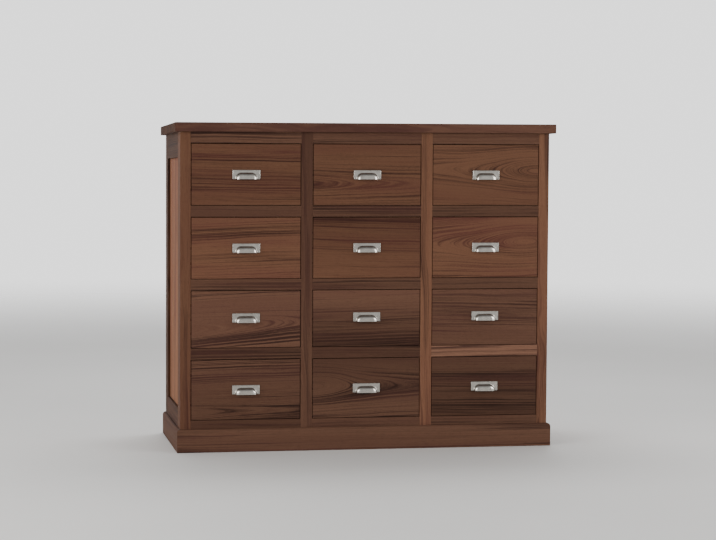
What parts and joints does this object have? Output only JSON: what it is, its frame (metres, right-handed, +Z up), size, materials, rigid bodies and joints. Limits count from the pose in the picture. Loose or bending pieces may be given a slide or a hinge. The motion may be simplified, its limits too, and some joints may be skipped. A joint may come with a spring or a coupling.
{
  "type": "multi-drawer chest",
  "caption": "Floor-standing walnut chest with a grid of inset drawers, metal cup pulls, panelled sides and a moulded plinth.",
  "frame": {"origin": "middle of the floor area under the top board", "axes": "+X to the viewer's right along the front, +Y to the back, +Z up; the drawers open towards -Y"},
  "size_m": [1.4, 0.5, 1.18],
  "materials": {
    "walnut": "satin oiled walnut",
    "inside_timber": "plain planed hardwood",
    "drawer_timber": "plain waxed hardwood",
    "back_panel": "plain veneered board",
    "pull_metal": "satin nickel"
  },
  "bodies": {
    "carcass": {"top_board": "walnut", "front_post_left": "walnut", "front_post_right": "walnut", "back_post_left": "walnut", "back_post_right": "walnut", "front_stile_left": "walnut", "front_stile_right": "walnut", "front_rails_head": "walnut", "front_rails_third": "walnut", "front_rails_second": "walnut", "front_rails_first": "walnut", "front_rails_base": "walnut", "side_rails_left": "walnut", "side_rails_right": "walnut", "side_panel_left": "walnut", "side_panel_right": "walnut", "back_rails": "walnut", "back_panels": "back_panel", "partitions": "inside_timber", "drawer_runners": "inside_timber", "drawer_stops": "inside_timber", "plinth_front": "walnut", "plinth_left": "walnut", "plinth_right": "walnut"},
    "drawer_top_left": {"drawer_front_top_left": "walnut", "drawer_box_top_left": "drawer_timber", "drawer_pull_top_left": "pull_metal"},
    "drawer_top_centre": {"drawer_front_top_centre": "walnut", "drawer_box_top_centre": "drawer_timber", "drawer_pull_top_centre": "pull_metal"},
    "drawer_top_right": {"drawer_front_top_right": "walnut", "drawer_box_top_right": "drawer_timber", "drawer_pull_top_right": "pull_metal"},
    "drawer_upper_left": {"drawer_front_upper_left": "walnut", "drawer_box_upper_left": "drawer_timber", "drawer_pull_upper_left": "pull_metal"},
    "drawer_upper_centre": {"drawer_front_upper_centre": "walnut", "drawer_box_upper_centre": "drawer_timber", "drawer_pull_upper_centre": "pull_metal"},
    "drawer_upper_right": {"drawer_front_upper_right": "walnut", "drawer_box_upper_right": "drawer_timber", "drawer_pull_upper_right": "pull_metal"},
    "drawer_lower_left": {"drawer_front_lower_left": "walnut", "drawer_box_lower_left": "drawer_timber", "drawer_pull_lower_left": "pull_metal"},
    "drawer_lower_centre": {"drawer_front_lower_centre": "walnut", "drawer_box_lower_centre": "drawer_timber", "drawer_pull_lower_centre": "pull_metal"},
    "drawer_lower_right": {"drawer_front_lower_right": "walnut", "drawer_box_lower_right": "drawer_timber", "drawer_pull_lower_right": "pull_metal"},
    "drawer_bottom_left": {"drawer_front_bottom_left": "walnut", "drawer_box_bottom_left": "drawer_timber", "drawer_pull_bottom_left": "pull_metal"},
    "drawer_bottom_centre": {"drawer_front_bottom_centre": "walnut", "drawer_box_bottom_centre": "drawer_timber", "drawer_pull_bottom_centre": "pull_metal"},
    "drawer_bottom_right": {"drawer_front_bottom_right": "walnut", "drawer_box_bottom_right": "drawer_timber", "drawer_pull_bottom_right": "pull_metal"}
  },
  "joints": [
    {"name": "slide_top_left", "type": "slide", "parent": "carcass", "child": "drawer_top_left", "axis": [0, -1, 0], "range_m": [0, 0.319]},
    {"name": "slide_top_centre", "type": "slide", "parent": "carcass", "child": "drawer_top_centre", "axis": [0, -1, 0], "range_m": [0, 0.319]},
    {"name": "slide_top_right", "type": "slide", "parent": "carcass", "child": "drawer_top_right", "axis": [0, -1, 0], "range_m": [0, 0.319]},
    {"name": "slide_upper_left", "type": "slide", "parent": "carcass", "child": "drawer_upper_left", "axis": [0, -1, 0], "range_m": [0, 0.319]},
    {"name": "slide_upper_centre", "type": "slide", "parent": "carcass", "child": "drawer_upper_centre", "axis": [0, -1, 0], "range_m": [0, 0.319]},
    {"name": "slide_upper_right", "type": "slide", "parent": "carcass", "child": "drawer_upper_right", "axis": [0, -1, 0], "range_m": [0, 0.319]},
    {"name": "slide_lower_left", "type": "slide", "parent": "carcass", "child": "drawer_lower_left", "axis": [0, -1, 0], "range_m": [0, 0.319]},
    {"name": "slide_lower_centre", "type": "slide", "parent": "carcass", "child": "drawer_lower_centre", "axis": [0, -1, 0], "range_m": [0, 0.319]},
    {"name": "slide_lower_right", "type": "slide", "parent": "carcass", "child": "drawer_lower_right", "axis": [0, -1, 0], "range_m": [0, 0.319]},
    {"name": "slide_bottom_left", "type": "slide", "parent": "carcass", "child": "drawer_bottom_left", "axis": [0, -1, 0], "range_m": [0, 0.319]},
    {"name": "slide_bottom_centre", "type": "slide", "parent": "carcass", "child": "drawer_bottom_centre", "axis": [0, -1, 0], "range_m": [0, 0.319]},
    {"name": "slide_bottom_right", "type": "slide", "parent": "carcass", "child": "drawer_bottom_right", "axis": [0, -1, 0], "range_m": [0, 0.319]}
  ]
}
